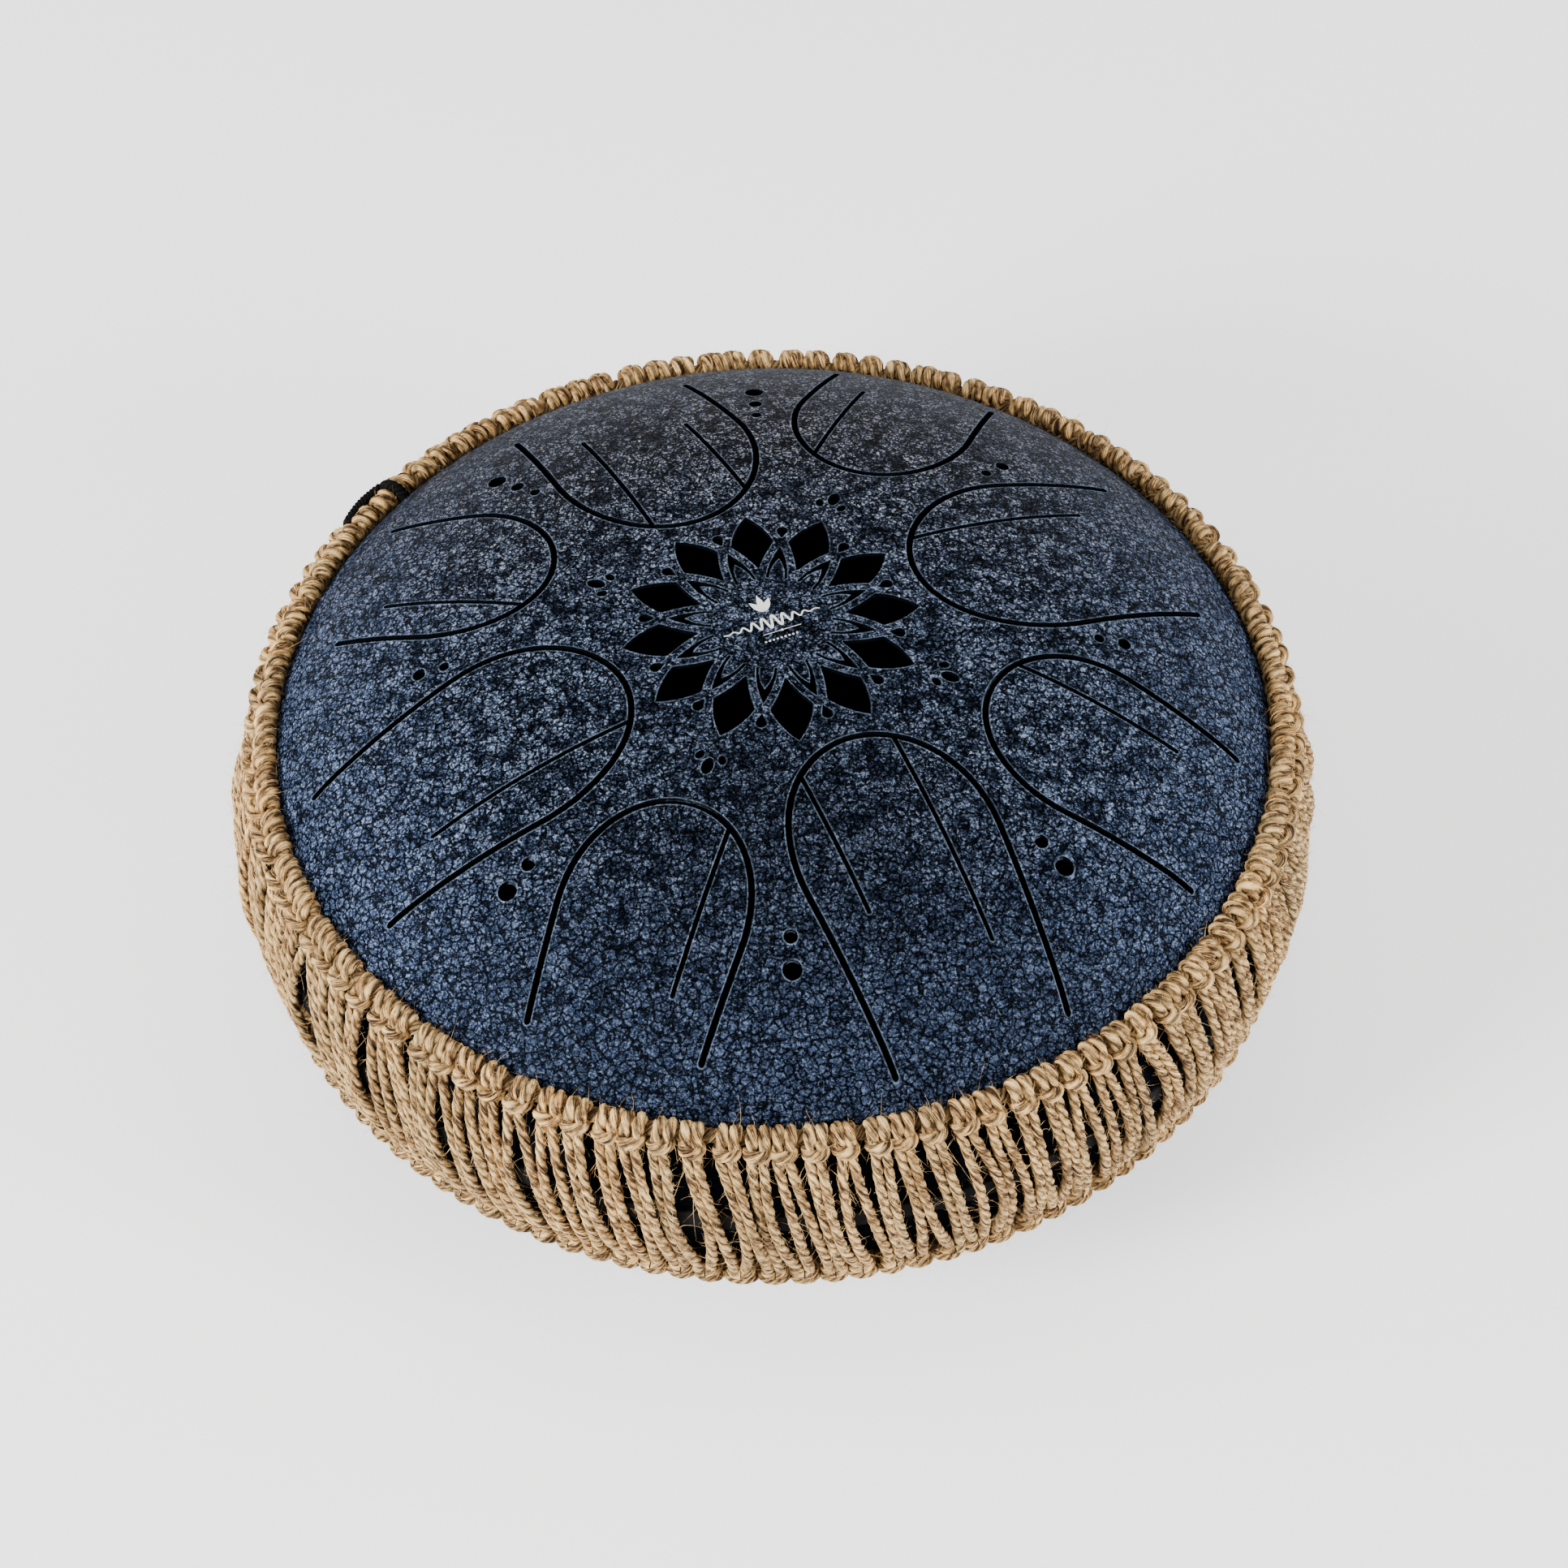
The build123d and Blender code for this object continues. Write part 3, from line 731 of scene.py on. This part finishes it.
def net_layout():
    """Azimuth, width and tilt of every knot, and each tail's place at the belly, all a little uneven."""
    index = np.arange(UNITS)
    top = (index + 0.5) * PITCH + RNG.uniform(-TOP_SHIFT, TOP_SHIFT, UNITS) * PITCH
    bottom = (index + 1.0) * PITCH + LEAN + RNG.uniform(-BOTTOM_SHIFT, BOTTOM_SHIFT, UNITS) * PITCH
    return {
        "top": top,
        "bottom": bottom,
        "belly": belly_places(top, bottom),
        "top_size": RNG.uniform(*TOP_WIDTH, UNITS),
        "bottom_size": RNG.uniform(*BOTTOM_WIDTH, UNITS),
        "top_tilt": RNG.normal(0, KNOT_TILT, UNITS),
        "bottom_tilt": RNG.normal(0, KNOT_TILT, UNITS),
    }


def cord_tone():
    """A multiplier for one cord's colour."""
    light = RNG.uniform(*TONE_LIGHT)
    warm = RNG.uniform(-TONE_WARM, TONE_WARM)
    return (light * (1 + warm), light, light * (1 - 1.5 * warm))


def tie_cord(bundle, layout, i):
    """One length of twine: both halves of its top knot, both tails and their ends in the bottom knots."""
    whole, fat = [], []
    for hand in (-1, 1):
        size, tilt = layout["top_size"][i], layout["top_tilt"][i]
        knot, knot_fat = knot_points(layout["top"][i], hand, 1, size, tilt)
        j = i if hand > 0 else (i - 1) % UNITS
        foot_azimuth = layout["bottom"][j] - (2 * math.pi if hand < 0 and i == 0 else 0)
        size, tilt = layout["bottom_size"][j], layout["bottom_tilt"][j]
        foot, foot_fat = knot_points(foot_azimuth, -hand, -1, size, tilt)
        start = layout["top"][i] + hand * TAIL_HALF / RING_R
        end = foot_azimuth - hand * TAIL_HALF / RING_R
        tail = tail_points(start, end, layout["belly"][i][max(hand, 0)])
        side = knot + tail + foot[::-1]
        side_fat = knot_fat + [1.0] * (len(tail) - 2) + [1.08, 1.16] + foot_fat[::-1]
        if hand < 0:
            whole, fat = side[::-1], side_fat[::-1]
        else:
            whole, fat = whole + side[1:], fat + side_fat[1:]
    points, swell, run = resample(whole, fat, STEP)
    tone = cord_tone()
    bundle.rope(points, swell, run, tone, *TWINE, phase=RNG.uniform(0, 6.28))
    bundle.fibres(points, *TWINE_FIBRES, tone)


def border_points(layout, j, n, t):
    """One scallop of the bottom border, round the foot of a knot, from one gap to the next."""
    here = layout["bottom"][j]
    low = (here + layout["bottom"][j - 1] - (2 * math.pi if j == 0 else 0)) / 2
    high = (here + layout["bottom"][(j + 1) % UNITS] + (2 * math.pi if j == UNITS - 1 else 0)) / 2
    points = []
    for k in range(SCALLOP_POINTS):
        w = k / SCALLOP_POINTS
        sag = math.sqrt(1 - (2 * w - 1) ** 2)
        out = SCALLOP_FOOT + (n - SCALLOP_FOOT) * sag
        down = t * (SCALLOP_FOOT + (1 - SCALLOP_FOOT) * sag)
        points.append(near_ring(low + (high - low) * w, 0, out, down, -1))
    points.append(near_ring(high, 0, SCALLOP_FOOT, t * SCALLOP_FOOT, -1))
    return points


def sew_border(bundle, layout, first):
    """Two thin cords that run along the bottom ring in scallops, one for each knot of a sector."""
    for row, (n, t) in enumerate(BORDER):
        points = []
        for j in range(first, first + PER_SECTOR):
            points = points[:-1] + border_points(layout, j, n, t)
        even, swell, run = resample(points, np.ones(len(points)), FINE_STEP)
        tone = cord_tone()
        bundle.rope(even, swell, run, tone, *BORDER_TWINE, sides=6, phase=1.7 * row)
        bundle.fibres(even, *BORDER_FIBRES, tone)


def make_net(material):
    """The net's cords, one piece for each CAD sector."""
    layout = net_layout()
    for sector in range(SECTORS):
        bundle = Bundle()
        for k in range(PER_SECTOR):
            tie_cord(bundle, layout, sector * PER_SECTOR + k)
        sew_border(bundle, layout, sector * PER_SECTOR)
        name = f"net_cords_{sector + 1:02d}"
        made = bundle.build(name + "_twine", material)
        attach(made, "root")
        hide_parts(name)


def make_core_rope(end, material):
    """The core rope of one ring, with a slight ripple where the knots pull it, its jute darkened to half as
    painted shade.
    """
    bundle = Bundle()
    turn = np.linspace(0, 2 * np.pi, CORE_POINTS)
    shifts = [CORE_SHIFT + CORE_RIPPLE * math.sin(CORE_RIPPLES * a) for a in turn]
    points = [near_ring(a, 0, CORE_IN, shift, end) for a, shift in zip(turn, shifts)]
    run = turn * RING_R
    bundle.rope(np.array(points), np.ones(len(run)), run, CORE_SHADE_TONE, *CORE_STRANDS, plies=5)
    name = "top_core_rope" if end > 0 else "bottom_core_rope"
    made = bundle.build(name + "_twisted", material)
    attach(made, "root")
    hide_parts(name)


# ---------------------------------------------------------------- black tie
def make_tie(material):
    """Black braided lashing: over the ring at one end, along its outside and under it at the other."""
    first, last = (knot * PITCH for knot in TIE_KNOTS)
    points, fat = [], []
    for k in range(TIE_OVER):
        angle = math.radians(200 - 25 * k)
        out, down = -0.9 + 4.6 * math.cos(angle), -5.0 * math.sin(angle)
        points.append(near_ring(first, 0.45 * k - 3.2, out, down, 1))
        fat.append(1.55)
    for k in range(1, TIE_ALONG):
        w = k / TIE_ALONG
        points.append(near_ring(first + (last - first) * w, 0, 4.3 + 0.9 * math.sin(3.1 * w), 0.4, 1))
        fat.append(1.35 - 0.3 * w)
    for k in range(TIE_UNDER):
        angle = math.radians(-10 - 20 * k)
        out, down = -0.6 + 4.8 * math.cos(angle), -5.0 * math.sin(angle)
        points.append(near_ring(last, 0.2 * k, out, down, 1))
        fat.append(1.0)
    even, swell, run = resample(points, fat, TIE_STEP)
    bundle = Bundle()
    bundle.rope(even, swell, run, (1, 1, 1), *TIE_BRAID, plies=4, sides=6)
    made = bundle.build("ring_tie_braid", material)
    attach(made, "root")
    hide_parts("ring_tie")


# ---------------------------------------------------------------- printed mark
def ribbon(points, half_widths):
    """Vertices and quads of a flat strip along 2-D points."""
    points = np.asarray(points, float)
    along = np.gradient(points, axis=0)
    along /= np.linalg.norm(along, axis=1)[:, None]
    across = np.stack([-along[:, 1], along[:, 0]], 1) * np.reshape(half_widths, (-1, 1))
    verts = np.stack([points + across, points - across], 1).reshape(-1, 2)
    k = np.arange(len(points) - 1) * 2
    return verts, np.stack([k, k + 1, k + 3, k + 2], 1)


def leaf(base, angle, length, width):
    """A pointed leaf from its base."""
    t = np.linspace(0, 1, 17)
    head = np.array((math.cos(angle), math.sin(angle)))
    half_widths = width / 2 * np.sin(math.pi * t**0.8) + 0.01
    return ribbon(np.asarray(base) + np.outer(t * length, head), half_widths)


def dot(centre, radius):
    """A round dot."""
    x = np.linspace(-0.995, 0.995, 13) * radius
    return ribbon(np.asarray(centre) + np.stack([x, 0 * x], 1), np.sqrt(radius**2 - x**2))


def make_print(material):
    """A plain mark on the rosette's centre: a bud, a fading sound wave, a rule and a row of dots."""
    marks = [leaf(BUD_FOOT, math.radians(angle), length, BUD_WIDTH) for angle, length in BUD_LEAVES]
    x = np.linspace(-WAVE_HALF, WAVE_HALF, 220)
    loud = np.exp(-((x / WAVE_FADE) ** 2))
    wave = np.stack([x, WAVE_HEIGHT * loud * np.sin(x * WAVE_RATE)], 1)
    marks.append(ribbon(wave, WAVE_THIN + WAVE_THICK * loud))
    x = np.linspace(-RULE_HALF, RULE_HALF, 12)
    marks.append(ribbon(np.stack([x, 0 * x], 1) + RULE_MIDDLE, np.full(len(x), RULE_THIN)))
    marks.append(dot(RULE_MIDDLE, RULE_DOT))
    for k in range(-DOTS_EACH_SIDE, DOTS_EACH_SIDE + 1):
        marks.append(dot((DOTS_MIDDLE[0] + DOTS_PITCH * k, DOTS_MIDDLE[1]), DOT_RADIUS))
    cosine, sine = math.cos(MARK_TURN), math.sin(MARK_TURN)
    spin = np.array(((cosine, sine), (-sine, cosine)))
    verts, faces, count = [], [], 0
    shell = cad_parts["upper_shell"]
    bpy.context.view_layer.update()
    for flat, quads in marks:
        for x, y in flat @ spin:
            hit, spot, _, _ = shell.ray_cast(Vector((x, y, 1.5 * APEX)) * MM, Vector((0, 0, -1)))
            verts.append((x, y, spot.z / MM + PRINT_LIFT if hit else APEX))
        faces.append(quads + count)
        count += len(flat)
    made = mesh_object("centre_print", verts, np.vstack(faces), material=material)
    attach(made, "root")


# ---------------------------------------------------------------- stage
def make_floor():
    """A wide pale floor."""
    corners = ((-1, -1), (1, -1), (1, 1), (-1, 1))
    verts = [(x * FLOOR_HALF, y * FLOOR_HALF, FLOOR_Z) for x, y in corners]
    made = mesh_object("floor", verts, ((0, 1, 2, 3),), material=floor_material(), smooth=False)


def area_light(name, place, target, size, power):
    """A square soft light aimed at a target."""
    data = bpy.data.lights.new(name, "AREA")
    data.energy = power
    data.size = size
    made = bpy.data.objects.new(name, data)
    made.location = place
    made.rotation_euler = (Vector(target) - Vector(place)).to_track_quat("-Z", "Y").to_euler()
    bpy.context.scene.collection.objects.link(made)


def make_lights():
    """Soft studio light: an overhead source, a key from the left front, and panels behind each side."""
    for name, (place, height, size, power) in LIGHTS.items():
        area_light(name, place, (0, 0, height), size, power)
    world = bpy.data.worlds.new("studio")
    world.use_nodes = True
    world.node_tree.nodes["Background"].inputs["Color"].default_value = (1, 1, 1, 1)
    world.node_tree.nodes["Background"].inputs["Strength"].default_value = SKY
    bpy.context.scene.world = world


def make_camera():
    """Camera at the photograph's place: elevation, azimuth, roll, distance from the apex and framing."""
    elevation, azimuth, roll = 50.21, 2.44, 0.65
    distance, right, up = 2.0455, 0.00452, -0.06011
    data = bpy.data.cameras.new("camera")
    data.sensor_width = 36
    data.lens = 127.05
    data.clip_end = 50
    made = bpy.data.objects.new("camera", data)
    made.matrix_world = (
        Matrix.Translation((0, 0, APEX * MM))
        @ Matrix.Rotation(math.radians(-azimuth), 4, "Z")
        @ Matrix.Rotation(math.radians(90 - elevation), 4, "X")
        @ Matrix.Rotation(math.radians(-roll), 4, "Z")
        @ Matrix.Translation((right, up, distance))
    )
    bpy.context.scene.collection.objects.link(made)
    bpy.context.scene.camera = made


# ---------------------------------------------------------------- build
def dress(name, material):
    """Gives a shown CAD node its material."""
    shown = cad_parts[name]
    shown.data.materials.clear()
    shown.data.materials.append(material)


make_camera()
make_lights()
make_floor()
JUTE = jute_material()
BLACK = rubber_material("black_rubber", BAND_GREY)
FOOT = rubber_material("foot_rubber", FOOT_GREY)
SHELL = shell_material()
make_net(JUTE)
make_core_rope(1, JUTE)
make_core_rope(-1, JUTE)
make_tie(rubber_material("black_cord", TIE_GREY))
make_print(print_material())
for part in ("upper_shell", "lower_shell"):
    dress(part, SHELL)
dress("seam_band", BLACK)
for number in range(1, 5):
    dress(f"foot_{number}", FOOT)
